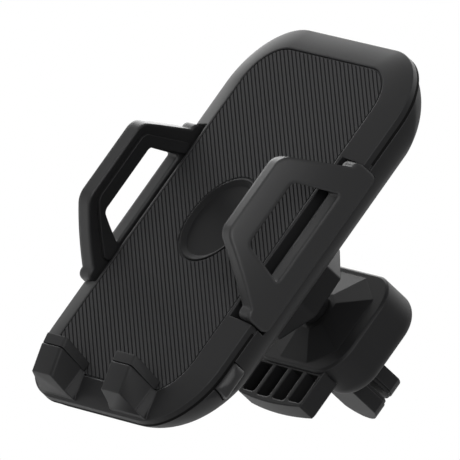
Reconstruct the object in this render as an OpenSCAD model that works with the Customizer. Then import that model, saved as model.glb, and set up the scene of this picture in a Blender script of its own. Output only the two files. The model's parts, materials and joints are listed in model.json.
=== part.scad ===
/* [Cradle] */
// Width of the cradle at its widest line
cradle_w = 67.8; // [64:0.1:74]
// Length of the cradle
cradle_l = 99.2; // [94:0.1:116]
// Depth from the ribbed face to the back of the cradle
cradle_t = 13; // [12.6:0.1:15]
// Corner radius of the cradle seen from the front
corner_r = 16.5; // [13:0.1:18]
// Rounding that runs round the back edge of the rear shell
edge_r = 9.5; // [7:0.1:9.5]
// Wall of the two cradle shells
wall = 1.6; // [1.2:0.1:2]
// How far the bezel falls back from the ribbed face
bezel_drop = 1.8; // [1.2:0.1:2.2]
// Depth of the split line between front cover and rear shell
split_y = 3.5; // [3.2:0.1:3.8]

/* [Grip pad] */
// Width of the bezel at each side of the ribbed pad
bezel_side = 7.6; // [7.4:0.1:10]
// Width of the bezel at each end of the ribbed pad
bezel_end = 6.15; // [5:0.05:8]
// Corner radius of the ribbed pad
pad_r = 10; // [8:0.1:12]
// Distance from one rib to the next
rib_pitch = 1.02; // [0.9:0.01:1.6]
// Width of the groove between two ribs
rib_gap = 0.34; // [0.25:0.01:0.4]
// Height of the ribs
rib_h = 0.4; // [0.3:0.05:0.5]
// Lean of the ribs seen from the front
rib_angle = -39; // [-60:1:-20]
// Radius of the disc in the middle of the pad
disc_r = 10.8; // [8:0.1:12]

/* [Arms] */
// Half length of the arm's root along the cradle
arm_root = 21; // [20:0.1:23]
// Half length of the arm's free edge before its corners
arm_tip = 10.2; // [9:0.1:12]
// Height of the arm above the ribbed face
arm_h = 14; // [11:0.1:18]
// Thickness of the arm
arm_t = 4; // [3.2:0.1:4.2]
// Radius of the arm's curved outer face
arm_curve_r = 43; // [36:0.5:60]
// Thickness of the soft pad on the arm
arm_pad_t = 1.2; // [0.8:0.1:1.4]
// Distance that each arm slides out
arm_travel = 15; // [10:0.5:15]

/* [Feet] */
// Distance of a foot's inner side from the middle
foot_in = 8.6; // [7:0.1:10]
// Distance of a foot's outer side from the middle
foot_out = 20.2; // [18:0.1:21]
// Reach of a foot in front of the ribbed face
foot_reach = 7.8; // [6:0.1:10]
// Thickness of the soft cap on a foot
foot_cap_t = 2.1; // [1.5:0.1:2.5]

/* [Gears] */
// Module of the pinion, the damper gear and the racks
gear_m = 0.7; // [0.7:0.01:0.75]
// Teeth on the pinion
pinion_teeth = 14; // [14:1:14]
// Teeth on the damper gear
damper_teeth = 10; // [10:1:10]
// Thickness of the racks and gears
rack_t = 2.2; // [1.8:0.1:2.2]

/* [Ball joint] */
// Radius of the ball
ball_r = 7.5; // [7.2:0.1:7.6]
// Depth of the ball's centre behind the ribbed face
ball_y = 21.8; // [21.4:0.1:22.4]
// Radius of the stud between ball and vent mount
stud_r = 3.7; // [3.2:0.1:4]
// Outer radius of the lock nut over its corners
nut_r = 13.1; // [13:0.1:14]
// Flat sides round the lock nut
nut_sides = 8; // [8:1:10]
// Length of the lock nut
nut_l = 8.6; // [8:0.1:9]

/* [Vent mount] */
// Width of the hood
hood_w = 34.2; // [32:0.1:38]
// Height of the hood
hood_h = 25.8; // [25.4:0.1:30]
// Depth of the hood
hood_d = 10.7; // [10.4:0.1:12]
// Corner radius of the hood seen from the front
hood_r = 8; // [6:0.1:9]
// Distance from the ribbed face to the hood's rim
hood_y = 35.6; // [35.4:0.1:38]
// Width of the clip's jaws
jaw_w = 12; // [10:0.1:13]
// Length of the jaws behind the hood
jaw_l = 13.5; // [10:0.1:16]
// Gap between the jaw pads when closed
blade_gap = 1.3; // [1.2:0.1:2.4]
// Height of the blade gap below the middle of the hood
jaw_drop = 4.8; // [4.6:0.1:5]
// Width of the finger tab
tab_w = 25.2; // [22:0.1:28]
// Height of the finger tab
tab_h = 9.3; // [7:0.1:10]
// Thickness of the finger tab
tab_t = 4.4; // [4:0.1:4.6]

/* [Release] */
// Height of the release button above the lower end of the cradle
button_up = 16.2; // [15.6:0.1:16.6]
// Length of the release button
button_l = 7; // [6:0.1:8]
// Travel of the release button
button_travel = 2; // [1:0.1:2]

/* [Fits] */
// Clearance between parts that slide or turn freely
run_gap = 0.25; // [0.2:0.01:0.3]
// Radial clearance of a pin in its bore
pin_gap = 0.05; // [0.03:0.01:0.08]
// Joint between parts that are fixed face to face
seat_gap = 0.05; // [0.02:0.01:0.1]

/* [Hidden] */
$fn = 64;
soft_fn = 32;
// Middle of the jaws behind the ribbed face, which is where the frame's origin lies
clip_y = hood_y + hood_d + jaw_l - 7.8;
half_w = cradle_w / 2;
half_l = cradle_l / 2;
pad_w = cradle_w - 2 * bezel_side;
pad_l = cradle_l - 2 * bezel_end;
// Layers from the ribbed face to the back of the cradle
pad_y = 1.35;
plate_y = 2.9;
rack_y = plate_y + run_gap;
rack_y2 = rack_y + rack_t;
chassis_y = rack_y2 + run_gap;
chassis_t = 1.3;
back_in_y = cradle_t - wall;
notch_x = pad_w / 2 + 0.9;
notch_z = arm_root + 0.3;
// Racks: pitch radius of the pinion and the size of a tooth
pitch_r = gear_m * pinion_teeth / 2;
damper_r = gear_m * damper_teeth / 2;
tooth_up = 0.8 * gear_m;
tooth_down = 1.05 * gear_m;
tooth_pitch = PI * gear_m;
rack_back = 11.5;
rack_len = arm_travel + 4;
ratchet_pitch = 1.5;
ratchet_h = 0.9;
// Arm: centre of its curved section and its places across the cradle
arm_out = half_w + 0.9;
arm_cx = arm_out - arm_curve_r;
arm_cy = 5;
arm_skin_y = 5.8;
arm_lift = 1.3;
arm_turn = 7;
carriage_z = 18;
carriage_in = 21.5;
wing_in = 10;
wing_z = 12.4;
spring_z = (wing_z + carriage_z) / 2;
spring_in = 2.7;
// Feet, measured up from the lower end of the cradle
foot_low = 0.6;
foot_top = 10.3;
foot_taper = 1.4;
window_root = 11.9;
window_tip = 8.4;
window_d = 9.2;
window_low = 0.8;
// Release slide below the rack
lock_x = 2.4;
lock_w = 3.2;
stem_h = 3;
stem_t = 1.8;
stem_tip = 5;
button_z = button_up - half_l;
split_groove = 0.45;
lock_stop_z = 5 - half_l;
lock_foot_z = button_z - 4.6;
// Screws
screw_r = 1.2;
case_screw_x = 20;
case_screw_z = half_l - 11.2;
chassis_screw_x = 13;
chassis_screw_z = carriage_z + 2.9;
chassis_w = 2 * chassis_screw_x + 8;
chassis_l = 2 * chassis_screw_z + 8;
// Ball joint, along the axis behind the cradle
seat_r = ball_r + 0.05;
liner_r = seat_r + 0.9;
cup_r = liner_r + 0.1;
collet_r = cup_r + 1.35;
collet_y = ball_y + 3.6;
neck_y = 17.6;
neck_r = nut_r * cos(180 / nut_sides) - 0.3;
nut_y = neck_y + 0.4;
nut_mouth_r = 7.5;
// Vent mount
land_y = hood_y - 2.5;
land_r = 4.6;
boss_t = 3.6;
stud_head_r = 3.9;
facet_in = [5.3, hood_h / 2 - 1.5];
facet_out = [hood_w / 2 - 4.4, hood_h / 2 - 6];
facet_corners = [
    for (q = [[1, 1], [-1, 1], [-1, -1], [1, -1]])
        for (c = q[0] * q[1] > 0 ? [facet_out, facet_in] : [facet_in, facet_out])
            [q[0] * c[0], q[1] * c[1]]
];
pivot_y = hood_y + 5;
pivot_z = -jaw_drop - 3.6;
pivot_r = 1.25;
barrel_r = 2.5;
pin_l = 20;
pocket_w = jaw_w + 5;
pocket_y = hood_y + hood_d - 1.9;
jaw_pad_t = 0.7;
jaw_lift = blade_gap / 2 + jaw_pad_t;
jaw_t = 3.3;
jaw_tip_r = 7;
neck_w = 15.6;
tab_gap = 0.2;
tab_top = hood_h / 2 + tab_gap;
tab_ear = 1.2;
tab_y = hood_y + 0.6;
tab_rib = 1.2;
tab_side = 0.9;
tab_bow_r = tab_w * tab_w / 7;
slot_pitch = (tab_w - 2 * tab_side + tab_rib) / 4;
spring_room = 6.2;

// Places a part that is drawn from the middle of the ribbed face, with y as depth
module in_cradle() {
    translate([0, -clip_y, jaw_drop]) children();
}

// Extrudes a front view from depth y0 to depth y1
module plate(y0, y1) {
    translate([0, y1, 0]) rotate([90, 0, 0]) linear_extrude(y1 - y0) children();
}

// Extrudes a side view, with depth as x and height as y, from x0 to x1
module side_view(x0, x1) {
    translate([x0, 0, 0]) rotate([90, 0, 90]) linear_extrude(x1 - x0) children();
}

// A turned solid whose axis runs along y
module along_y(y0) {
    translate([0, y0, 0]) rotate([-90, 0, 0]) children();
}

// Repeats a part for both ends of a half turn about the cradle's axis
module half_turn() {
    rotate([0, 180, 0]) children();
}

module rounded_rect(w, l, r) {
    square([w - 2 * r, l], center = true);
    square([w, l - 2 * r], center = true);
    for (x = [-1, 1], z = [-1, 1]) translate([x * (w / 2 - r), z * (l / 2 - r)]) circle(r);
}

// Points on an arc about [x, z]
function arc(x, z, r, a0, a1, steps = 7) = [
    for (i = [0:steps]) let (a = a0 + (a1 - a0) * i / steps) [x + r * cos(a), z + r * sin(a)]
];

function unit(v) = v / norm(v);

// Outline of counter-clockwise corners, each [x, z, radius], with every corner rounded
function rounded(corners, steps = 7) = [
    for (i = [0:len(corners) - 1])
        let (
            n = len(corners),
            p = corners[i],
            u = unit([corners[(i + n - 1) % n][0] - p[0], corners[(i + n - 1) % n][1] - p[1]]),
            v = unit([corners[(i + 1) % n][0] - p[0], corners[(i + 1) % n][1] - p[1]]),
            m = unit(u + v),
            half = acos(u * v) / 2,
            mid = atan2(-m[1], -m[0])
        )
        each arc(p[0] + m[0] * p[2] / sin(half), p[1] + m[1] * p[2] / sin(half), p[2],
            mid - 90 + half, mid + 90 - half, steps)
];

// Side view of an arm's loop between depths x0 and x1: half lengths h0 and h1, its end lifted
module loop_outline(x0, h0, r0, x1, h1, r1, lift) {
    polygon(rounded([[x0, h0, r0], [x1, h1 + lift, r1], [x1, lift - h1, r1], [x0, -h0, r0]]));
}

// Section of a slab with its two back edges rounded
module edge_profile(w, t, e) {
    translate([-w / 2, 0]) square([w, t - e]);
    translate([-w / 2 + e, 0]) square([w - 2 * e, t]);
    for (x = [-1, 1]) translate([x * (w / 2 - e), t - e]) circle(e);
}

// Rounded rectangle slab from depth y0 to y1 with its back edge rounded all the way round
module pillow(w, l, r, e, y0, y1) {
    t = y1 - y0;
    translate([0, y0, 0]) {
        linear_extrude(l - 2 * r, center = true) intersection() {
            edge_profile(w, t, e);
            translate([-w, 0]) square([2 * w, t]);
        }
        rotate([0, 90, 0]) linear_extrude(w - 2 * r, center = true) intersection() {
            edge_profile(l, t, e);
            translate([-l, 0]) square([2 * l, t]);
        }
        for (x = [-1, 1], z = [-1, 1]) translate([x * (w / 2 - r), 0, z * (l / 2 - r)])
            rotate([-90, 0, 0]) rotate_extrude() intersection() {
                edge_profile(2 * r, t, e);
                square([r, t]);
            }
    }
}

// Back half of the cradle, inset all round, with its ends and corners drawn in further than its sides
module shell_form(inset, y0) {
    intersection() {
        pillow(cradle_w - 2 * inset, cradle_l - 2 * inset, corner_r - inset, edge_r - inset,
            y0, cradle_t - inset);
        pillow(cradle_w + 5.6 - 2 * inset, cradle_l + 1.2 - 2 * inset, corner_r + 5.8 - inset,
            edge_r + 3.5 - inset, cradle_t - edge_r - 4, cradle_t - inset);
    }
}

// Face of the bezel, which falls away from the pad to the widest line in two steps
module bezel_face() {
    rim = 0.5;
    hull() {
        plate(0, 0.02) rounded_rect(pad_w + 2 * rim, pad_l + 2 * rim, pad_r + rim, $fn = 96);
        plate(0.55 * bezel_drop, 0.57 * bezel_drop)
            rounded_rect(cradle_w - 4.6, cradle_l - 3.4, corner_r - 1.9, $fn = 96);
        plate(bezel_drop, bezel_drop + 0.02) rounded_rect(cradle_w, cradle_l, corner_r, $fn = 96);
    }
}

// One slab of a foot, which tapers from its root to its front, between two sloping levels
module foot_slab(root_y, front_z0, root_z0, front_z1, root_z1, reach0, reach1) {
    tip = 0.9;
    skin = 0.3;
    hull() {
        translate([foot_in, root_y, -half_l + root_z0]) cube([foot_out - foot_in, skin, skin]);
        translate([foot_in, min(root_y, -0.3), -half_l + root_z1 - skin])
            cube([foot_out - foot_in, skin, skin]);
        for (x = [foot_in + foot_taper + tip, foot_out - foot_taper - 0.5 - tip]) {
            translate([x, -reach0 + tip, -half_l + front_z0]) cylinder(h = skin, r = tip, $fn = soft_fn);
            translate([x, -reach1 + tip, -half_l + front_z1 - skin])
                cylinder(h = skin, r = tip, $fn = soft_fn);
        }
    }
}

// Flared base that joins a foot to the bezel
module foot_base() {
    flare = 1;
    hull() {
        translate([foot_in - flare, 0.9, -half_l + foot_low - 0.1])
            cube([foot_out - foot_in + 2 * flare, 0.8, 0.8]);
        translate([foot_in - flare, 0.3, -half_l + foot_top - foot_cap_t - 2])
            cube([foot_out - foot_in + 2 * flare, 0.3, 0.8]);
        translate([foot_in + 0.1, -1, -half_l + foot_low + 0.3])
            cube([foot_out - foot_in - 0.2, 0.2, foot_top - foot_cap_t - foot_low - 1.7]);
    }
}

module front_cover() {
    boss_r = 2.4;
    color("#2c2c2e") in_cradle() difference() {
        union() {
            difference() {
                union() {
                    bezel_face();
                    plate(bezel_drop, split_y) rounded_rect(cradle_w, cradle_l, corner_r);
                }
                plate(plate_y, split_y + 1)
                    rounded_rect(cradle_w - 2 * wall, cradle_l - 2 * wall, corner_r - wall);
            }
            for (side = [0, 1]) mirror([side, 0, 0]) {
                foot_slab(0.3, foot_low + 1.1, foot_low, foot_top - foot_cap_t - 0.4, foot_top - 1.2 - foot_cap_t,
                    foot_reach - 2.3, foot_reach - 0.4);
                foot_base();
            }
            // Bosses for the case screws and for the chassis plate
            for (x = [-1, 1], z = [-1, 1]) {
                translate([x * case_screw_x, 0, z * case_screw_z]) along_y(plate_y - 0.2)
                    cylinder(h = 6, r = boss_r);
                translate([x * chassis_screw_x, 0, z * chassis_screw_z]) along_y(plate_y - 0.2)
                    cylinder(h = chassis_y - plate_y + 0.2 - seat_gap, r = boss_r);
            }
            // Stop under the lock spring
            translate([lock_x - lock_w - 0.6, plate_y - 0.2, lock_stop_z - 1.2])
                cube([lock_w + 1.2, rack_t + 0.4, 1.2]);
        }
        plate(-0.05, pad_y) rounded_rect(pad_w + 2 * seat_gap, pad_l + 2 * seat_gap, pad_r);
        for (side = [0, 1]) mirror([side, 0, 0])
            translate([notch_x, -1, -notch_z]) cube([20, 8, 2 * notch_z]);
        for (x = [-1, 1], z = [-1, 1]) {
            translate([x * case_screw_x, 0, z * case_screw_z]) along_y(plate_y + 0.4)
                cylinder(h = 8, r = screw_r + pin_gap);
            translate([x * chassis_screw_x, 0, z * chassis_screw_z]) along_y(plate_y - 1)
                cylinder(h = 8, r = screw_r + pin_gap);
        }
    }
}

module rear_shell() {
    color("#242426") in_cradle() difference() {
        union() {
            difference() {
                shell_form(0, split_y + seat_gap);
                shell_form(wall, split_y - edge_r);
            }
            along_y(back_in_y + 0.4) cylinder(h = neck_y - back_in_y - 0.4, r = neck_r);
            along_y(back_in_y + 0.4) cylinder(h = collet_y - 1 - back_in_y - 0.4, r = collet_r);
            along_y(collet_y - 1) cylinder(h = 1, r1 = collet_r, r2 = collet_r - 0.8);
            for (x = [-1, 1], z = [-1, 1]) translate([x * case_screw_x, 0, z * case_screw_z])
                along_y(plate_y + 5.8 + seat_gap) cylinder(h = back_in_y - plate_y - 5.4, r = 3.2);
        }
        translate([0, ball_y, 0]) sphere(cup_r);
        along_y(ball_y) cylinder(h = collet_y, r = 6.9);
        // Slots that let the collet's fingers close
        for (a = [45, 135]) rotate([0, a, 0]) translate([-collet_r - 1, neck_y + 0.6, -0.5])
            cube([2 * collet_r + 2, 10, 1]);
        // Fine groove along the split line
        plate(split_y, split_y + split_groove) difference() {
            square([2 * cradle_w, 2 * cradle_l], center = true);
            rounded_rect(cradle_w - 2 * split_groove, cradle_l - 2 * split_groove, corner_r - split_groove);
        }
        // Side slots for the arms
        for (side = [0, 1]) mirror([side, 0, 0])
            translate([notch_x, 0, -notch_z]) cube([20, arm_skin_y + 0.3, 2 * notch_z]);
        // Window for the release button
        translate([half_w - 5, split_y - 1, button_z - button_l / 2 - run_gap])
            cube([9, 5.9, button_l + 2 * run_gap]);
        for (x = [-1, 1], z = [-1, 1]) translate([x * case_screw_x, 0, z * case_screw_z]) {
            along_y(plate_y) cylinder(h = 12, r = screw_r + pin_gap);
            along_y(cradle_t - 3.2) cylinder(h = 8, r = 2.4);
        }
    }
}

// Front view of the ribs, clipped to the pad and clear of the disc
module rib_field() {
    reach = (pad_w + pad_l) / 2;
    count = ceil(reach / rib_pitch);
    difference() {
        rounded_rect(pad_w - 0.8, pad_l - 0.8, pad_r - 0.4);
        circle(disc_r + 0.5);
        rotate(rib_angle) for (i = [-count:count]) translate([-reach, i * rib_pitch - rib_gap / 2])
            square([2 * reach, rib_gap]);
    }
}

module grip_pad() {
    color("#1f1f20") in_cradle() {
        difference() {
            plate(rib_h, pad_y - seat_gap) rounded_rect(pad_w, pad_l, pad_r);
            along_y(-1) cylinder(h = 4, r = disc_r + seat_gap);
        }
        plate(0, rib_h) rib_field();
    }
}

module centre_disc() {
    bevel = 1.5;
    dish = 0.7;
    color("#262628") in_cradle() difference() {
        along_y(0.05) cylinder(h = pad_y - seat_gap - 0.05, r = disc_r);
        along_y(0) cylinder(h = dish, r1 = disc_r - 0.3, r2 = disc_r - bevel);
    }
}

module foot_pad(side) {
    gap = 0.1;
    color("#333336") in_cradle() mirror([side, 0, 0])
        foot_slab(-0.45, foot_top - foot_cap_t - 0.2 + gap, foot_top - 1.2 - foot_cap_t + gap,
            foot_top, foot_top - 1.2, foot_reach - 0.4, foot_reach);
}

// Plan of an arm's curved wall, from shift to shift plus t inside its outer face
module arm_section(shift, t) {
    linear_extrude(3 * arm_root, center = true) translate([arm_cx - shift, arm_cy]) difference() {
        circle(arm_curve_r, $fn = 128);
        translate([-t, 0]) circle(arm_curve_r, $fn = 128);
    }
}

// Front view of an arm's carriage with its rack
module carriage_outline() {
    difference() {
        union() {
            translate([carriage_in, -carriage_z]) square([half_w - 1 - carriage_in, 2 * carriage_z]);
            for (z = [-1, 1]) translate([wing_in, z > 0 ? wing_z : -carriage_z])
                square([carriage_in - wing_in + 1, carriage_z - wing_z]);
            translate([-rack_len, pitch_r + tooth_down]) square([rack_len + carriage_in + 1, rack_back - pitch_r - tooth_down]);
            translate([2, rack_back - 0.5]) square([carriage_in, wing_z - rack_back + 1]);
        }
        for (i = [0:9]) translate([-3 - i * ratchet_pitch, rack_back])
            polygon([[0, 0.1], [-ratchet_pitch + 0.2, 0.1], [0, -ratchet_h]]);
    }
    for (i = [-floor((rack_len - 1) / tooth_pitch):2]) translate([(i + 0.5) * tooth_pitch, pitch_r + tooth_down])
        rack_tooth();
}

// One straight sided rack tooth that points down from its root line
module rack_tooth() {
    half = tooth_pitch / 4 - 0.09;
    slant = tan(20);
    polygon([
        [-half - tooth_down * slant, 0.3], [-half - tooth_down * slant, 0],
        [-half + tooth_up * slant, -tooth_up - tooth_down],
        [half - tooth_up * slant, -tooth_up - tooth_down],
        [half + tooth_down * slant, 0], [half + tooth_down * slant, 0.3]
    ]);
}

// Turns a side view prism a little about the outer corner of the free edge
module turned() {
    tip_x = arm_cx + sqrt(arm_curve_r * arm_curve_r - (arm_h + arm_cy) * (arm_h + arm_cy));
    translate([tip_x, -arm_h, 0]) rotate([0, 0, -arm_turn]) translate([-tip_x, arm_h, 0]) children();
}

// Curved loop: a bent wall cut to a trapezoid with a window, on a flange that closes the shell's slot
module arm_loop() {
    base_y = -0.5;
    difference() {
        union() {
            intersection() {
                arm_section(0, arm_t);
                turned() side_view(20, 60) loop_outline(base_y + 1.5, arm_root - 1.2, 0.3,
                    -arm_h, arm_tip, 3.8, arm_lift);
            }
            intersection() {
                arm_section(0, arm_t);
                side_view(20, 60) translate([(base_y + arm_skin_y) / 2, 0])
                    rounded_rect(arm_skin_y - base_y, 2 * arm_root, 1.6);
            }
        }
        side_view(20, 60) polygon(rounded([
            [window_low, window_root + 1, 0.5], [-window_d, window_tip, 1.8],
            [-window_d, -window_tip, 1.8], [window_low, 0.9 - window_root, 0.5]
        ]));
    }
}

module right_arm() {
    color("#2a2a2c") in_cradle() {
        arm_loop();
        plate(rack_y, rack_y2) carriage_outline();
    }
}

module left_arm() {
    color("#2a2a2c") in_cradle() {
        mirror([1, 0, 0]) arm_loop();
        half_turn() plate(rack_y, rack_y2) carriage_outline();
    }
}

// Soft C-shaped pad on the inner face of an arm, open towards the cradle
module arm_pad() {
    difference() {
        intersection() {
            arm_section(arm_t + seat_gap, arm_pad_t);
            side_view(20, 60) loop_outline(1.4, arm_root - 4.4, 1.2, -arm_h + 2.3, arm_tip - 1.5, 2.6,
                arm_lift);
        }
        side_view(20, 60) polygon(rounded([
            [2.6, window_root + 2.6, 0.3], [-window_d + 1.2, window_tip + 0.6, 1.6],
            [-window_d + 1.2, -window_tip, 1.6], [2.6, -window_root - 0.3, 0.3]
        ]));
    }
}

module right_arm_pad() {
    color("#1b1b1c") in_cradle() arm_pad();
}

module left_arm_pad() {
    color("#1b1b1c") in_cradle() mirror([1, 0, 0]) arm_pad();
}

// Front view of a gear whose first gap or tooth lies on the +z side
module gear_outline(teeth, radius, phase) {
    step = 360 / teeth;
    half = 90 / teeth - 0.09 / radius * 57.3;
    tip = 0.4 * half;
    root = 1.12 * half;
    circle(radius - tooth_down + 0.03);
    for (i = [0:teeth - 1]) rotate(i * step + phase) polygon([
        for (p = [
            [radius - tooth_down - 0.2, -root], [radius - tooth_down, -root],
            [radius, -half], [radius + tooth_up, -tip],
            [radius + tooth_up, tip], [radius, half],
            [radius - tooth_down, root], [radius - tooth_down - 0.2, root]
        ]) [p[0] * cos(p[1]), p[0] * sin(p[1])]
    ]);
}

module pinion() {
    color("#d8d5c8") in_cradle() difference() {
        plate(rack_y, rack_y2) gear_outline(pinion_teeth, pitch_r, 90);
        along_y(0) cylinder(h = 12, r = 1.5 + pin_gap);
    }
}

module damper_gear() {
    color("#e6e3d6") in_cradle() translate([-pitch_r - damper_r, 0, 0]) {
        plate(rack_y, rack_y2) gear_outline(damper_teeth, damper_r, 0);
        along_y(rack_y2 - 0.2) cylinder(h = chassis_t + 2.6, r = 1);
    }
}

module damper() {
    color("#3c3c40") in_cradle() translate([-pitch_r - damper_r, 0, 0]) difference() {
        along_y(chassis_y + chassis_t + seat_gap) union() {
            cylinder(h = 3, r = 4.2);
            hull() for (z = [-1, 1]) translate([0, z * 5.6, 0]) cylinder(h = 0.9, r = 1.6);
        }
        along_y(0) cylinder(h = chassis_y + chassis_t + 2.2, r = 1 + pin_gap);
    }
}

module chassis_plate() {
    guide = 0.9;
    color("#4a4a4e") in_cradle() difference() {
        union() {
            plate(chassis_y, chassis_y + chassis_t) rounded_rect(chassis_w, chassis_l, 5);
            // Axle of the pinion
            along_y(plate_y + seat_gap) cylinder(h = chassis_y - plate_y, r = 1.5);
            // Guides on both sides of the lock slide
            for (x = [lock_x + run_gap, lock_x - lock_w - run_gap - guide])
                translate([x, rack_y, -rack_back - 9.5]) cube([guide, chassis_y - rack_y + 0.2, 4]);
            // Stops that hold the inner ends of the arm springs
            for (side = [0, 1]) rotate([0, 180 * side, 0])
                translate([spring_in - 1.6, rack_y, spring_z - 1.9]) cube([1.5, chassis_y - rack_y + 0.2, 3.8]);
        }
        for (x = [-1, 1], z = [-1, 1]) translate([x * chassis_screw_x, 0, z * chassis_screw_z])
            along_y(0) cylinder(h = 12, r = screw_r + pin_gap);
        translate([-pitch_r - damper_r, 0, 0]) along_y(0) cylinder(h = 12, r = 1.3);
    }
}

// A pan head screw whose shank points forwards from under its head
module screw(shank, head_r, head_h) {
    difference() {
        union() {
            along_y(-shank) cylinder(h = shank + 0.2, r = screw_r);
            along_y(0) cylinder(h = head_h, r = head_r);
        }
        for (a = [0, 90]) rotate([0, a, 0]) translate([-head_r * 0.6, head_h - 0.6, -0.25])
            cube([head_r * 1.2, 1, 0.5]);
    }
}

module chassis_screws() {
    color("#b9bcc0") in_cradle() for (x = [-1, 1], z = [-1, 1])
        translate([x * chassis_screw_x, chassis_y + chassis_t + seat_gap, z * chassis_screw_z])
            screw(chassis_y + chassis_t - plate_y + 0.4, 2.1, 1.2);
}

module case_screws() {
    color("#b9bcc0") in_cradle() for (x = [-1, 1], z = [-1, 1])
        translate([x * case_screw_x, cradle_t - 3.2 + seat_gap, z * case_screw_z])
            screw(cradle_t - 3.2 - plate_y - 1, 2.2, 1.4);
}

// Coil of round wire along z, from z = 0 to z = length
module coil(radius, wire, length, turns) {
    sides = 5;
    per_turn = 10;
    rings = turns * per_turn;
    rise = (length - 2 * wire) / rings;
    points = [
        for (i = [0:rings]) let (a = 360 * i / per_turn, z = wire + i * rise)
            for (k = [0:sides - 1]) let (b = 360 * k / sides)
                [(radius + wire * cos(b)) * cos(a), (radius + wire * cos(b)) * sin(a), z + wire * sin(b)]
    ];
    walls = [
        for (i = [0:rings - 1], k = [0:sides - 1]) let (n = (k + 1) % sides)
            for (t = [[i * sides + k, (i + 1) * sides + k, (i + 1) * sides + n],
                      [i * sides + k, (i + 1) * sides + n, i * sides + n]]) t
    ];
    ends = [[for (k = [0:sides - 1]) k], [for (k = [sides - 1:-1:0]) rings * sides + k]];
    polyhedron(points, concat(walls, ends));
}

module arm_spring() {
    color("#c4c7ca") in_cradle()
        translate([spring_in, (rack_y + rack_y2) / 2, spring_z]) rotate([0, 90, 0])
            coil(0.85, 0.22, wing_in - spring_in, 6);
}

module right_arm_spring() {
    arm_spring();
}

module left_arm_spring() {
    translate([0, 0, 2 * jaw_drop]) half_turn() arm_spring();
}

module release_button() {
    y0 = split_y + 0.35;
    y1 = split_y + 4.6;
    inner = half_w - 2.6;
    proud = half_w + 1.3;
    stem_z = button_z - stem_h / 2;
    color("#38383b") in_cradle() {
        // Thumb cap with a blunt crest, rounded along its length
        intersection() {
            translate([0, 0, button_z - button_l / 2]) linear_extrude(button_l)
                polygon(rounded([
                    [inner, y0, 0.3], [half_w + 0.4, y0, 0.5], [proud, y0 + 1.6, 0.7],
                    [proud - 0.3, y0 + 2.9, 0.7], [half_w - 0.9, y1, 0.5], [inner, y1, 0.3]
                ]));
            translate([proud - 7, y0 - 1, button_z]) rotate([-90, 0, 0]) cylinder(h = 7, r = 7);
        }
        // Stem with its sloping tip
        plate(rack_y + 0.2, rack_y + 0.2 + stem_t) polygon([
            [half_w - 2.2, stem_z + stem_h], [stem_tip, stem_z + stem_h],
            [stem_tip + stem_h, stem_z], [half_w - 2.2, stem_z]
        ]);
    }
}

module lock_slide() {
    tooth_z = -rack_back - 0.35;
    slope = button_z + stem_h / 2 + stem_tip - 0.4;
    left = lock_x - lock_w;
    color("#c9c4b4") in_cradle() plate(rack_y, rack_y2) polygon([
        [left, lock_foot_z], [stem_tip + stem_h, lock_foot_z],
        [stem_tip + stem_h, slope - stem_tip - stem_h], [lock_x, slope - lock_x],
        [lock_x, tooth_z], [left + 1.2, tooth_z - 0.8], [left, tooth_z - 0.8]
    ]);
}

module lock_spring() {
    color("#c4c7ca") in_cradle()
        translate([lock_x - lock_w / 2, (rack_y + rack_y2) / 2, lock_stop_z])
            coil(0.8, 0.22, lock_foot_z - lock_stop_z, 5);
}

// Friction liner between the ball and the collet
module ball_seat() {
    color("#56565a") in_cradle() along_y(ball_y) rotate_extrude() difference() {
        intersection() {
            circle(liner_r);
            translate([0, -liner_r - 1]) square([liner_r + 1, liner_r + 1 + collet_y - 0.7 - ball_y]);
        }
        circle(seat_r);
    }
}

module ball_stud() {
    color("#303033") in_cradle() difference() {
        union() {
            translate([0, ball_y, 0]) sphere(ball_r);
            along_y(ball_y + 3) cylinder(h = land_y - seat_gap - ball_y - 3, r = stud_r);
            along_y(land_y - 0.4) cylinder(h = boss_t + 0.5, r = stud_r - 0.4);
        }
        along_y(land_y - 5) cylinder(h = 20, r = screw_r + pin_gap);
    }
}

module lock_nut() {
    corners = [
        for (i = [0:nut_sides - 1]) let (a = 25.5 + i * 360 / nut_sides)
            [nut_r * cos(a), nut_r * sin(a), 1.2]
    ];
    color("#262628") in_cradle() difference() {
        plate(nut_y, nut_y + nut_l) polygon(rounded(corners, 4));
        along_y(nut_y - 1) cylinder(h = collet_y - nut_y, r = collet_r + pin_gap);
        along_y(collet_y - 1.01) cylinder(h = 1.3, r1 = collet_r + pin_gap, r2 = collet_r - 0.7);
        along_y(collet_y) cylinder(h = 6, r = nut_mouth_r);
        // Room for the liner when the ball tilts
        translate([0, ball_y, 0]) sphere(liner_r + 2 * pin_gap);
    }
}

// Plan of a jaw from depth y0 to its rounded tip at y1
module jaw_outline(w, y0, y1) {
    a = acos(w / 2 / jaw_tip_r);
    polygon(concat([[-w / 2, y0], [w / 2, y0]], arc(0, y1 - jaw_tip_r, jaw_tip_r, a, 180 - a, 12)));
}

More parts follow.
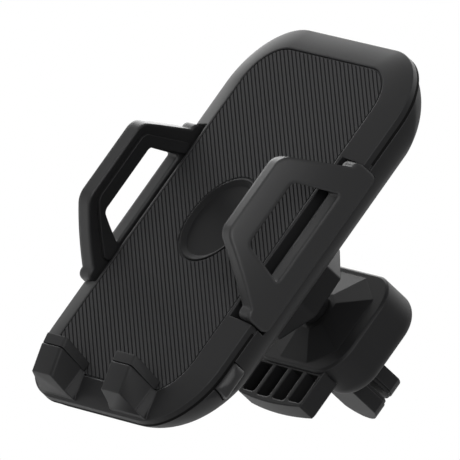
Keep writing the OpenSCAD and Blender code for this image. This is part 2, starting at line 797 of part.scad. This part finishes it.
module mount_housing() {
    back = hood_y + hood_d;
    chamfer = 0.5;
    color("#29292b") in_cradle() difference() {
        union() {
            pillow(hood_w, hood_h, hood_r, 3.6, hood_y + chamfer, back);
            // Faceted front: a low pyramid inside a flat rim, both in one convex cap
            hull() {
                plate(hood_y, hood_y + 0.02)
                    rounded_rect(hood_w - 2 * chamfer, hood_h - 2 * chamfer, hood_r - chamfer);
                plate(hood_y + chamfer, hood_y + chamfer + 0.02) rounded_rect(hood_w, hood_h, hood_r);
            }
            hull() {
                plate(land_y, land_y + 0.05) polygon(facet_corners * land_r / facet_in[1]);
                plate(hood_y - 0.05, hood_y) polygon(facet_corners);
            }
            // Fixed lower jaw with a rounded tip
            translate([0, 0, -jaw_drop - jaw_lift - jaw_t]) linear_extrude(jaw_t)
                jaw_outline(jaw_w, pocket_y + 0.1, back + jaw_l);
        }
        // Bore of the stud's tail, and the room of its screw reached from behind
        along_y(land_y - 1) cylinder(h = boss_t + 2, r = stud_r - 0.4 + pin_gap);
        along_y(land_y + boss_t) cylinder(h = 20, r = stud_head_r + run_gap);
        // Pocket of the lever, open below
        translate([-pocket_w / 2, hood_y + 2, -hood_h / 2 - 1])
            cube([pocket_w, pocket_y - hood_y - 2, hood_h / 2 + 1 - 3.2]);
        // Way out of the upper jaw through the back
        translate([-jaw_w / 2 - run_gap, hood_y + 2.2, -jaw_drop - 0.6])
            cube([jaw_w + 2 * run_gap, 20, jaw_drop + 3.2]);
        translate([-hood_w, pivot_y, pivot_z]) rotate([0, 90, 0])
            cylinder(h = hood_w + pin_l / 2, r = pivot_r + seat_gap / 2);
    }
}

module stud_screw() {
    color("#b9bcc0") in_cradle() translate([0, land_y + boss_t + 0.1 + seat_gap, 0])
        screw(boss_t + 3.4, stud_head_r, 1);
}

module clip_lever() {
    jaw_back = hood_y + hood_d + jaw_l;
    slot_top = -tab_top - 0.3;
    slot_low = -tab_top - tab_h + 1.2;
    color("#2e2e30") in_cradle() difference() {
        union() {
            // Finger tab, with a lip at its front that closes the gap under the hood
            plate(tab_y, tab_y + tab_t) tab_outline(tab_gap);
            plate(tab_y, tab_y + 1.4) tab_outline(0.06);
            // Neck up to the pivot
            translate([-neck_w / 2, pivot_y - 2.6, -tab_top - 1]) cube([neck_w, 3.4, tab_top + 1 + pivot_z]);
            translate([-neck_w / 2, pivot_y, pivot_z]) rotate([0, 90, 0]) cylinder(h = neck_w, r = barrel_r);
            // Upper jaw, which stands up behind the stud's screw before it turns back
            translate([-jaw_w / 2, pivot_y - 0.7, pivot_z])
                cube([jaw_w, 3, -pivot_z - jaw_drop + jaw_lift + jaw_t]);
            translate([0, 0, -jaw_drop + jaw_lift]) linear_extrude(jaw_t)
                jaw_outline(jaw_w, pivot_y - 0.7, jaw_back);
        }
        // Four finger slots in the front of the tab
        for (i = [-1.5:1.5]) translate([i * slot_pitch, 0, 0])
            finger_slot(slot_pitch - tab_rib, slot_low + (abs(i) > 1 ? 0.4 : 0), slot_top);
        // Room of the spring between the two barrels
        translate([-spring_room / 2, pivot_y - 3, pivot_z - 2.8]) cube([spring_room, 6, 5.6]);
        translate([-neck_w, pivot_y, pivot_z]) rotate([0, 90, 0]) cylinder(h = 2 * neck_w, r = pivot_r + pin_gap);
    }
}

// Face of the finger tab: a slightly bowed lower edge, and a top that follows the hood
module tab_outline(gap) {
    difference() {
        intersection() {
            translate([0, -tab_top - tab_h / 2]) union() {
                rounded_rect(tab_w, tab_h, 2);
                translate([-tab_w / 2, 0]) square([tab_w, tab_h / 2 + tab_ear]);
            }
            translate([0, tab_bow_r - tab_top - tab_h]) circle(tab_bow_r, $fn = 180);
        }
        rounded_rect(hood_w + 2 * gap, hood_h + 2 * gap, hood_r + gap);
    }
}

// One slot in the face of the finger tab
module finger_slot(w, low, top) {
    plate(tab_y - 1, tab_y + tab_t - 1) union() {
        translate([0, (low + top) / 2]) rounded_rect(w, top - low, 0.9);
        translate([-w / 2, (low + top) / 2]) square([w, (top - low) / 2]);
    }
}

module pivot_pin() {
    color("#b9bcc0") in_cradle() translate([-pin_l / 2 - 2, pivot_y, pivot_z]) rotate([0, 90, 0])
        cylinder(h = pin_l + 2 - seat_gap, r = pivot_r);
}

module clip_spring() {
    wire = 0.3;
    coil_l = spring_room - 1;
    color("#c4c7ca") in_cradle() translate([-coil_l / 2, pivot_y, pivot_z]) rotate([0, 90, 0])
        coil(pivot_r + wire + 0.15, wire, coil_l, 6);
}

// Rubber face of a jaw with a notch at its tip
module jaw_pad(lift) {
    notch = 1.2;
    start = hood_y + hood_d + 0.4;
    color("#161617") in_cradle() translate([0, 0, -jaw_drop + lift])
        linear_extrude(jaw_pad_t - seat_gap) difference() {
            jaw_outline(jaw_w - 0.6, start, start + jaw_l - 0.7);
            translate([0, start + jaw_l]) polygon([[-notch - 0.6, 0], [0, -notch - 0.7], [notch + 0.6, 0]]);
        }
}

module upper_jaw_pad() {
    jaw_pad(blade_gap / 2);
}

module lower_jaw_pad() {
    jaw_pad(-blade_gap / 2 - jaw_pad_t + seat_gap);
}

front_cover();
rear_shell();
grip_pad();
centre_disc();
foot_pad(1);  // left_foot_pad
foot_pad(0);  // right_foot_pad
left_arm();
right_arm();
left_arm_pad();
right_arm_pad();
pinion();
chassis_plate();
chassis_screws();
case_screws();
damper();
damper_gear();
left_arm_spring();
right_arm_spring();
release_button();
lock_slide();
lock_spring();
ball_seat();
ball_stud();
lock_nut();
mount_housing();
stud_screw();
clip_lever();
pivot_pin();
clip_spring();
upper_jaw_pad();
lower_jaw_pad();
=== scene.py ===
# %% [markdown]
# # Air vent phone holder
# The holder is a black cradle with two sliding arms and two feet, on a ball joint
# with a clip for the blade of an air vent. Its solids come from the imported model,
# and this script gives them their finishes, their light and the view.

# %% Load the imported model
import json
import math

import bmesh
import bpy
from mathutils import Matrix, Vector


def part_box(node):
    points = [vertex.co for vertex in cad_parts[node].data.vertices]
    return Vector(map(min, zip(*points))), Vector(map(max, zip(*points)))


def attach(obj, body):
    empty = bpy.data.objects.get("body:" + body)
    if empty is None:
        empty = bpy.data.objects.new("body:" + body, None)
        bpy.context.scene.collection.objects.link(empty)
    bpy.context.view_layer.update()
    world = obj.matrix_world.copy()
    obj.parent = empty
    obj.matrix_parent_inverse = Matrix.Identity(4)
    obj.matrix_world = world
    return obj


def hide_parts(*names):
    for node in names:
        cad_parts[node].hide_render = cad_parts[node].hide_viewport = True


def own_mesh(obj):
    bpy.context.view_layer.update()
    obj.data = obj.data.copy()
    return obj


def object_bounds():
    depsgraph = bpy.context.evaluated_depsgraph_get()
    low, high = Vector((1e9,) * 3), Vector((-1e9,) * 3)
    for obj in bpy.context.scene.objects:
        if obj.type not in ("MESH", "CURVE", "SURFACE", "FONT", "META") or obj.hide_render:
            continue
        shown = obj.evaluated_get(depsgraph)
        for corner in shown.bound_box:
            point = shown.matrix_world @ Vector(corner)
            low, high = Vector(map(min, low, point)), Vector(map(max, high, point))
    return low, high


MM = 0.001
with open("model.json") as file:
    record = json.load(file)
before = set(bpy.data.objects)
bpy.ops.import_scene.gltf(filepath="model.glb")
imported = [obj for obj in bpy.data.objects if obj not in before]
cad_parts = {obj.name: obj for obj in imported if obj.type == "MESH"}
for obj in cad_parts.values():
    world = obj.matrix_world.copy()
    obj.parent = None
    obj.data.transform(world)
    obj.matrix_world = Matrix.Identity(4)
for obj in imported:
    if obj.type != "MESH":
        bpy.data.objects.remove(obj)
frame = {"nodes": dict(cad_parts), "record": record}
nodes = frame["nodes"]
cad_low, cad_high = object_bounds()
print("nodes", len(nodes), "box", [round(v / MM, 1) for v in cad_high - cad_low])

# %% [markdown]
# ## Shading the solids
# A moulded part has smooth curved faces that meet in crisp lines. The packed
# meshes are plain triangles, so every face is set smooth and a limit on the angle
# keeps the lines. The hood has shallow facets, so its limit is much lower.

# %% Smooth faces with crisp lines
WELD_DISTANCE = 0.002 * MM
CREASE_ANGLE = math.radians(30)
FACET_ANGLE = math.radians(9)


def shade_by_angle(obj, angle):
    weld = obj.modifiers.new("weld", "WELD")
    weld.merge_threshold = WELD_DISTANCE
    split = obj.modifiers.new("crisp_lines", "EDGE_SPLIT")
    split.split_angle = angle
    mesh = obj.data
    mesh.polygons.foreach_set("use_smooth", [True] * len(mesh.polygons))


print("crease angle", round(math.degrees(CREASE_ANGLE)))

# %% [markdown]
# ## The soft thumb button
# The thumb button is a small cushion of plastic with no crisp line on it. Its
# solid is remeshed into small even cells, smoothed until the edges melt, and then
# lightened, because the even skin has far more faces than so small a piece needs.

# %% Soft form of the thumb button
SKIN_CELL = 0.15 * MM
SOFTEN_FACTOR = 0.7
SOFTEN_PASSES = 14
KEPT_FACES = 0.35


def shade_as_soft_form(obj):
    skin = obj.modifiers.new("even_skin", "REMESH")
    skin.mode = "VOXEL"
    skin.voxel_size = SKIN_CELL
    skin.use_smooth_shade = True
    soften = obj.modifiers.new("soften", "SMOOTH")
    soften.factor = SOFTEN_FACTOR
    soften.iterations = SOFTEN_PASSES
    lighter = obj.modifiers.new("fewer_faces", "DECIMATE")
    lighter.ratio = KEPT_FACES


print("button skin", round(SKIN_CELL / MM, 2), "mm")

# %% [markdown]
# ## Moulded grain
# Matt plastic is matt because its mould was spark eroded: the skin is a field of
# fine dimples. One node group holds that skin, as a bump and as a small change of
# roughness, and every plastic and rubber takes its own size and depth of dimple.
# The mould's edges aren't razor sharp either, so the group rounds their shading.
# Their edges are painted lighter, partly as wear from handling and partly as a painted highlight,
# and the pigment of a moulding is never quite even, so the group also changes the colour a little.

# %% The grain group
GRAIN_INPUTS = (
    ("Colour", "NodeSocketColor", (0.01, 0.01, 0.01, 1.0)),
    ("Wear_and_sheen", "NodeSocketFloat", 0.0),
    ("Scale", "NodeSocketFloat", 3000.0),
    ("Depth", "NodeSocketFloat", 0.1),
    ("Roughness", "NodeSocketFloat", 0.5),
    ("Spread", "NodeSocketFloat", 0.06),
    ("Edge", "NodeSocketFloat", 0.2 * MM),
)
GRAIN_OUTPUTS = (
    ("Colour", "NodeSocketColor"),
    ("Roughness", "NodeSocketFloat"),
    ("Normal", "NodeSocketVector"),
)
DIMPLE_HEIGHT = 0.02 * MM
DIMPLE_DETAIL = 2.0
CLOUD_SCALE = 60.0
CLOUD_TONE = 0.3
NOISE_MEAN = 0.5
EDGE_SAMPLES = 8
# Cosine between the rounded and the true normal where the edge wear and painted highlight start and are
# full
SHEEN_AND_WEAR_FROM, SHEEN_AND_WEAR_FULL = 0.99, 0.9


def add_node(tree, kind, operation=None, inputs=None):
    node = tree.nodes.new(kind)
    if operation:
        node.operation = operation
    for name, value in (inputs or {}).items():
        node.inputs[name].default_value = value
    return node


def make_grain_group():
    tree = bpy.data.node_groups.new("moulded_grain", "ShaderNodeTree")
    for name, kind, default in GRAIN_INPUTS:
        item = tree.interface.new_socket(name, in_out="INPUT", socket_type=kind)
        item.default_value = default
    for name, kind in GRAIN_OUTPUTS:
        tree.interface.new_socket(name, in_out="OUTPUT", socket_type=kind)
    given = add_node(tree, "NodeGroupInput")
    place = add_node(tree, "ShaderNodeTexCoord")
    surface = add_node(tree, "ShaderNodeNewGeometry")
    dimples = add_node(tree, "ShaderNodeTexNoise", inputs={"Detail": DIMPLE_DETAIL})
    clouds = add_node(tree, "ShaderNodeTexNoise", inputs={"Scale": CLOUD_SCALE})
    bump = add_node(tree, "ShaderNodeBump", inputs={"Distance": DIMPLE_HEIGHT})
    rounding = add_node(tree, "ShaderNodeBevel")
    rounding.samples = EDGE_SAMPLES
    centred = add_node(tree, "ShaderNodeMath", "SUBTRACT", {1: NOISE_MEAN})
    roughness = add_node(tree, "ShaderNodeMath", "MULTIPLY_ADD")
    agree = add_node(tree, "ShaderNodeVectorMath", "DOT_PRODUCT")
    # Painted highlight and wear: where the rounded normal bends away from the true one, the edge colour
    # is lightened
    worn_and_sheen = add_node(
        tree, "ShaderNodeMapRange", inputs={"From Min": SHEEN_AND_WEAR_FROM, "From Max": SHEEN_AND_WEAR_FULL}
    )
    tone = add_node(tree, "ShaderNodeMath", "MULTIPLY_ADD", {1: CLOUD_TONE, 2: 1.0})
    lift = add_node(tree, "ShaderNodeMath", "MULTIPLY_ADD")
    tint = add_node(tree, "ShaderNodeHueSaturation")
    out = add_node(tree, "NodeGroupOutput")
    for source, target in (
        (place.outputs["Object"], dimples.inputs["Vector"]),
        (place.outputs["Object"], clouds.inputs["Vector"]),
        (given.outputs["Scale"], dimples.inputs["Scale"]),
        (given.outputs["Depth"], bump.inputs["Strength"]),
        (dimples.outputs["Fac"], bump.inputs["Height"]),
        (given.outputs["Edge"], rounding.inputs["Radius"]),
        (rounding.outputs["Normal"], bump.inputs["Normal"]),
        (clouds.outputs["Fac"], centred.inputs[0]),
        (centred.outputs[0], roughness.inputs[0]),
        (given.outputs["Spread"], roughness.inputs[1]),
        (given.outputs["Roughness"], roughness.inputs[2]),
        (rounding.outputs["Normal"], agree.inputs[0]),
        (surface.outputs["Normal"], agree.inputs[1]),
        (agree.outputs["Value"], worn_and_sheen.inputs["Value"]),
        (centred.outputs[0], tone.inputs[0]),
        (worn_and_sheen.outputs["Result"], lift.inputs[0]),
        (given.outputs["Wear_and_sheen"], lift.inputs[1]),
        (tone.outputs[0], lift.inputs[2]),
        (lift.outputs[0], tint.inputs["Value"]),
        (given.outputs["Colour"], tint.inputs["Color"]),
        (tint.outputs["Color"], out.inputs["Colour"]),
        (roughness.outputs[0], out.inputs["Roughness"]),
        (bump.outputs["Normal"], out.inputs["Normal"]),
    ):
        tree.links.new(source, target)
    return tree


grain_group = make_grain_group()
print("group", grain_group.name, len(grain_group.nodes), "nodes")

# %% [markdown]
# ## Finishes
# The cradle, the arms and the hood are one matt black plastic. The ball and its
# nut are smoother, the pads are soft rubber, and the hidden gears are natural
# nylon. Each finish is a Principled shader that takes its grain from the group.
# The arms, the button and the disc are the shell's plastic too, but their moulds
# were finished differently: the first two have broad soft edges, and the disc is
# darker.

# %% Materials
RUBBER_GRAIN = 1800.0
finishes = {}


def finish(
    name, colour, roughness, scale=2600.0, depth=0.1, edge=0.2, wear_and_sheen=0.0, metallic=0.0, specular=0.5
):
    """Makes a finish: scale is dimples per metre, and edge is the rounding in mm."""
    mat = bpy.data.materials.new(name)
    mat.use_nodes = True
    tree = mat.node_tree
    shader = tree.nodes["Principled BSDF"]
    shader.inputs["Metallic"].default_value = metallic
    shader.inputs["Specular IOR Level"].default_value = specular
    grain = tree.nodes.new("ShaderNodeGroup")
    grain.node_tree = grain_group
    grain.inputs["Colour"].default_value = (*colour, 1.0)
    grain.inputs["Wear_and_sheen"].default_value = wear_and_sheen
    grain.inputs["Scale"].default_value = scale
    grain.inputs["Depth"].default_value = depth
    grain.inputs["Roughness"].default_value = roughness
    grain.inputs["Edge"].default_value = edge * MM
    tree.links.new(grain.outputs["Colour"], shader.inputs["Base Color"])
    tree.links.new(grain.outputs["Roughness"], shader.inputs["Roughness"])
    tree.links.new(grain.outputs["Normal"], shader.inputs["Normal"])
    finishes[name] = mat


# The wear values lighten the edges in the colour, partly as wear and partly as a painted highlight
finish("shell_plastic", (0.012, 0.012, 0.0125), 0.46, depth=0.12, edge=0.45, wear_and_sheen=1.2, specular=0.15)
finish("arm_plastic", (0.014, 0.014, 0.0145), 0.42, depth=0.12, edge=1.2, wear_and_sheen=0.5, specular=0.3)
finish("disc_plastic", (0.007, 0.007, 0.0073), 0.4, depth=0.05, edge=0.4, specular=0.08)
finish("groove_shadow", (0.002, 0.002, 0.002), 0.8, depth=0.0, edge=0.05, specular=0.1)
finish("joint_plastic", (0.009, 0.009, 0.0095), 0.36, depth=0.04, edge=0.5, wear_and_sheen=0.5, specular=0.15)
finish("inner_plastic", (0.06, 0.06, 0.065), 0.5)
finish("gear_plastic", (0.62, 0.6, 0.54), 0.4, depth=0.03)
finish("pad_rubber", (0.03, 0.03, 0.031), 0.62, RUBBER_GRAIN, edge=0.1, specular=0.12)
finish("grip_rubber", (0.013, 0.013, 0.0135), 0.55, RUBBER_GRAIN, edge=0.3, wear_and_sheen=0.6, specular=0.2)
finish("screw_steel", (0.5, 0.5, 0.52), 0.3, depth=0.02, metallic=1.0)
finish("spring_steel", (0.55, 0.55, 0.56), 0.25, depth=0.01, metallic=1.0)
print("finishes", sorted(finishes))

# %% [markdown]
# ## Dressing the solids
# The record says which slot each node takes, so a loop can dress them all. Only
# the nodes with a finish of their own are named here.

# %% Give each solid its finish
OWN_FINISH = {
    "left_arm": "arm_plastic",
    "right_arm": "arm_plastic",
    "release_button": "arm_plastic",
    "centre_disc": "disc_plastic",
}


def dress(node, material_slot):
    obj = nodes[node]
    if node == "release_button":
        shade_as_soft_form(obj)
    else:
        shade_by_angle(obj, FACET_ANGLE if node == "mount_housing" else CREASE_ANGLE)
    obj.data.materials.clear()
    obj.data.materials.append(finishes[OWN_FINISH.get(node, material_slot)])


for part in frame["record"]["subparts"]:
    dress(part["node"], part["material_slot"])

# %% [markdown]
# ## Pieces made of sections
# The two pieces that the solids lack, a strip of painted shadow and a coil, are both a closed section
# that runs along a path. One helper skins the sections in order and caps the ends.

# %% Skin a row of sections
def object_from(bm, name):
    mesh = bpy.data.meshes.new(name)
    bm.to_mesh(mesh)
    bm.free()
    obj = bpy.data.objects.new(name, mesh)
    bpy.context.scene.collection.objects.link(obj)
    return obj


def sweep(name, sections):
    bm = bmesh.new()
    rings = [[bm.verts.new(point) for point in section] for section in sections]
    for a, b in zip(rings, rings[1:]):
        for k in range(len(a)):
            n = (k + 1) % len(a)
            bm.faces.new((a[k], a[n], b[n], b[k]))
    bm.faces.new(rings[0])
    bm.faces.new(rings[-1])
    bmesh.ops.recalc_face_normals(bm, faces=bm.faces)
    return object_from(bm, name)


print("helpers", object_from.__name__, sweep.__name__)

# %% [markdown]
# ## The split line
# The two halves of the cradle meet in a fine groove. At this size its shadow is
# what the eye sees, so a near-black strip of painted shadow lies in the groove at both
# ends of the cradle and stops short of the arms.

# %% Painted shadow strip in the groove
cover_low, cover_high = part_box("front_cover")
HALF_W = (cover_high.x - cover_low.x) / 2
HALF_L = (cover_high.z - cover_low.z) / 2
CENTRE_Z = (cover_high.z + cover_low.z) / 2
CORNER_R = 16.5 * MM
CORNER_STEPS = 24
# Where the two halves meet, and how far the strip reaches to each side of it
SPLIT_Y = -48.5 * MM
STRIP_HALF = 0.3 * MM
STRIP_SUNK = 0.2 * MM
STRIP_PROUD = 0.03 * MM
STRIP_END_Z = 22.6 * MM


def end_outline(sign, grow):
    """Points (x, z) along one end of the cradle's outline, from side to side."""
    points = [(HALF_W + grow, sign * STRIP_END_Z)]
    for side in (1, -1):
        centre_x = side * (HALF_W - CORNER_R)
        centre_z = sign * (HALF_L - CORNER_R)
        start = 0 if side == 1 else math.pi / 2
        for i in range(CORNER_STEPS + 1):
            angle = start + math.pi / 2 * i / CORNER_STEPS
            x = centre_x + (CORNER_R + grow) * math.cos(angle)
            z = centre_z + sign * (CORNER_R + grow) * math.sin(angle)
            points.append((x, z))
    points.append((-HALF_W - grow, sign * STRIP_END_Z))
    return [(x, z + CENTRE_Z) for x, z in points]


def make_painted_shadow_strip(name, sign):
    front, back = SPLIT_Y - STRIP_HALF, SPLIT_Y + STRIP_HALF
    inner = end_outline(sign, -STRIP_SUNK)
    outer = end_outline(sign, STRIP_PROUD)
    sections = [
        [(xi, front, zi), (xo, front, zo), (xo, back, zo), (xi, back, zi)]
        for (xi, zi), (xo, zo) in zip(inner, outer)
    ]
    strip = sweep(name, sections)
    # The strip is near-black painted shadow for the groove's shade
    strip.data.materials.append(finishes["groove_shadow"])
    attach(strip, "cradle")
    return strip


for name, sign in (("upper_painted_groove_shadow", 1), ("lower_painted_groove_shadow", -1)):
    print(name, len(make_painted_shadow_strip(name, sign).data.polygons), "faces")

# %% [markdown]
# ## The spring under the lock
# The button's wedge pushes the lock slide down onto a small spring. The coil is
# wound again here as a piece of its own, which hangs on the cradle, and the solid spring is hidden.

# %% Lock spring
WIRE_R = 0.22 * MM
COIL_TURNS = 5
STEPS_PER_TURN = 16
WIRE_SIDES = 8
WIRE_ANGLE = math.radians(60)


def wire_section(centre, radius, turn, z):
    """Points round the wire where the coil has gone through the angle turn."""
    points = []
    for k in range(WIRE_SIDES):
        around = 2 * math.pi * k / WIRE_SIDES
        r = radius + WIRE_R * math.cos(around)
        x = centre.x + r * math.cos(turn)
        y = centre.y + r * math.sin(turn)
        points.append((x, y, z + WIRE_R * math.sin(around)))
    return points


def make_lock_spring():
    low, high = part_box("lock_spring")
    centre = (low + high) / 2
    radius = (high.x - low.x) / 2 - WIRE_R
    length = high.z - low.z
    rise = length - 2 * WIRE_R
    steps = COIL_TURNS * STEPS_PER_TURN
    sections = [
        wire_section(centre, radius, 2 * math.pi * i / STEPS_PER_TURN, low.z + WIRE_R + rise * i / steps)
        for i in range(steps + 1)
    ]
    coil = sweep("lock_spring_coil", sections)
    shade_by_angle(coil, WIRE_ANGLE)
    coil.data.materials.append(finishes["spring_steel"])
    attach(coil, "cradle")
    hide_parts("lock_spring")
    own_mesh(coil)
    return coil


print("lock spring", len(make_lock_spring().data.polygons), "faces")

# %% [markdown]
# ## The floor
# The holder hangs from a vent, so the floor lies a little below it and shows only
# its upper side. Seen from under the floor, as in the photograph's view, it lets
# the white room through. Far from the holder it fades out, so that no horizon shows.

# %% Floor
FLOOR_DROP = 30 * MM
FLOOR_SIZE = 6.0
FLOOR_GREY = (0.86, 0.86, 0.86, 1.0)
FLOOR_ROUGHNESS = 0.9
FADE_FROM, FADE_TO = 0.25, 0.8


def make_floor_finish():
    mat = bpy.data.materials.new("floor_white")
    mat.use_nodes = True
    tree = mat.node_tree
    shader = tree.nodes["Principled BSDF"]
    shader.inputs["Base Color"].default_value = FLOOR_GREY
    shader.inputs["Roughness"].default_value = FLOOR_ROUGHNESS
    geometry = add_node(tree, "ShaderNodeNewGeometry")
    clear = add_node(tree, "ShaderNodeBsdfTransparent")
    mix = add_node(tree, "ShaderNodeMixShader")
    place = add_node(tree, "ShaderNodeTexCoord")
    reach = add_node(tree, "ShaderNodeVectorMath", "LENGTH")
    fade = add_node(tree, "ShaderNodeMapRange", inputs={"From Min": FADE_FROM, "From Max": FADE_TO})
    fade.interpolation_type = "SMOOTHSTEP"
    either = add_node(tree, "ShaderNodeMath", "MAXIMUM")
    for source, target in (
        (place.outputs["Object"], reach.inputs[0]),
        (reach.outputs["Value"], fade.inputs["Value"]),
        (fade.outputs["Result"], either.inputs[0]),
        (geometry.outputs["Backfacing"], either.inputs[1]),
        (either.outputs[0], mix.inputs[0]),
        (shader.outputs[0], mix.inputs[1]),
        (clear.outputs[0], mix.inputs[2]),
        (mix.outputs[0], tree.nodes["Material Output"].inputs["Surface"]),
    ):
        tree.links.new(source, target)
    return mat


def make_floor():
    bm = bmesh.new()
    bmesh.ops.create_grid(bm, x_segments=1, y_segments=1, size=FLOOR_SIZE / 2)
    bmesh.ops.translate(bm, verts=bm.verts, vec=(0, 0, cad_low.z - FLOOR_DROP))
    floor = object_from(bm, "floor")
    floor.data.materials.append(make_floor_finish())
    return floor


make_floor()
print("floor at", round((cad_low.z - FLOOR_DROP) / MM, 1), "mm")

# %% [markdown]
# ## The photograph's view
# The view was solved from the cradle's straight edges. The lens is long, so the
# picture is close to a parallel one, and its width at the holder sets the lens.

# %% Camera
VIEW_RIGHT = Vector((0.5281, 0.6361, 0.5626))
VIEW_UP = Vector((-0.1318, -0.5931, 0.7943))
VIEW_CENTRE = Vector((1.68, -48.95, 4.38)) * MM
VIEW_WIDTH = 98.5 * MM
CAMERA_DISTANCE = 4.0
CLIP_NEAR, CLIP_FAR = 0.05, 20.0
SENSOR = 36.0


def make_camera():
    data = bpy.data.cameras.new("camera")
    data.sensor_width = SENSOR
    data.lens = SENSOR * CAMERA_DISTANCE / VIEW_WIDTH
    data.clip_start = CLIP_NEAR
    data.clip_end = CLIP_FAR
    camera = bpy.data.objects.new("camera", data)
    bpy.context.scene.collection.objects.link(camera)
    right = VIEW_RIGHT.normalized()
    back = right.cross(VIEW_UP).normalized()
    up = back.cross(right)
    turn = Matrix((right, up, back)).transposed().to_4x4()
    camera.matrix_world = Matrix.Translation(VIEW_CENTRE + back * CAMERA_DISTANCE) @ turn
    bpy.context.scene.camera = camera
    return back


print("camera looks along", [round(-v, 3) for v in make_camera()])

# %% [markdown]
# ## Soft studio light
# Four square lamps stand round the holder. The key stands high on the left, a little
# behind the face, and grazes the bezel. The fill lifts the ribbed face, the side lamp
# reaches the right arm and the hood, and the top lamp separates the upper edges.

# %% Lamps
# Name, direction from the holder, distance in m, side in m, power in W
LAMPS = (
    ("key", (-0.8, 0.12, 0.62), 0.7, 0.6, 3.6),
    ("fill", (-0.3, -1.0, 0.35), 1.2, 0.9, 2.8),
    ("side", (0.9, -0.6, -0.1), 0.8, 0.5, 5.4),
    ("top", (-0.1, 0.4, 1.0), 1.0, 0.8, 3.0),
)


def area_light(name, direction, distance, size, power):
    data = bpy.data.lights.new(name, "AREA")
    data.shape = "SQUARE"
    data.size = size
    data.energy = power
    lamp = bpy.data.objects.new(name, data)
    bpy.context.scene.collection.objects.link(lamp)
    along = Vector(direction).normalized()
    lamp.location = VIEW_CENTRE + along * distance
    lamp.rotation_euler = along.to_track_quat("Z", "Y").to_euler()


for lamp_settings in LAMPS:
    area_light(*lamp_settings)
print("lamps", [settings[0] for settings in LAMPS])

# %% [markdown]
# ## The white room
# The room gives the holder only a weak even light, so that black plastic stays
# black, but the camera sees it as white. Mirrored and see-through rays get part of
# that white, which keeps the outer edges from glowing.

# %% World
WHITE = (1.0, 1.0, 1.0, 1.0)
ROOM_LIGHT = 0.25
ROOM_SHOWN = 1.0
MIRRORED_SHARE = 0.4


def make_white_room():
    world = bpy.data.worlds.new("studio")
    bpy.context.scene.world = world
    world.use_nodes = True
    tree = world.node_tree
    ambient = tree.nodes["Background"]
    ambient.inputs["Color"].default_value = WHITE
    ambient.inputs["Strength"].default_value = ROOM_LIGHT
    shown = add_node(tree, "ShaderNodeBackground", inputs={"Color": WHITE, "Strength": ROOM_SHOWN})
    rays = add_node(tree, "ShaderNodeLightPath")
    mirrored = add_node(tree, "ShaderNodeMath", "ADD")
    dimmed = add_node(tree, "ShaderNodeMath", "MULTIPLY", {1: MIRRORED_SHARE})
    seen = add_node(tree, "ShaderNodeMath", "ADD")
    seen.use_clamp = True
    choose = add_node(tree, "ShaderNodeMixShader")
    for source, target in (
        (rays.outputs["Is Glossy Ray"], mirrored.inputs[0]),
        (rays.outputs["Is Transmission Ray"], mirrored.inputs[1]),
        (mirrored.outputs[0], dimmed.inputs[0]),
        (rays.outputs["Is Camera Ray"], seen.inputs[0]),
        (dimmed.outputs[0], seen.inputs[1]),
        (seen.outputs[0], choose.inputs[0]),
        (ambient.outputs[0], choose.inputs[1]),
        (shown.outputs[0], choose.inputs[2]),
        (choose.outputs[0], tree.nodes["World Output"].inputs["Surface"]),
    ):
        tree.links.new(source, target)


make_white_room()
bpy.context.scene.view_settings.view_transform = "Standard"
print("view transform", bpy.context.scene.view_settings.view_transform)
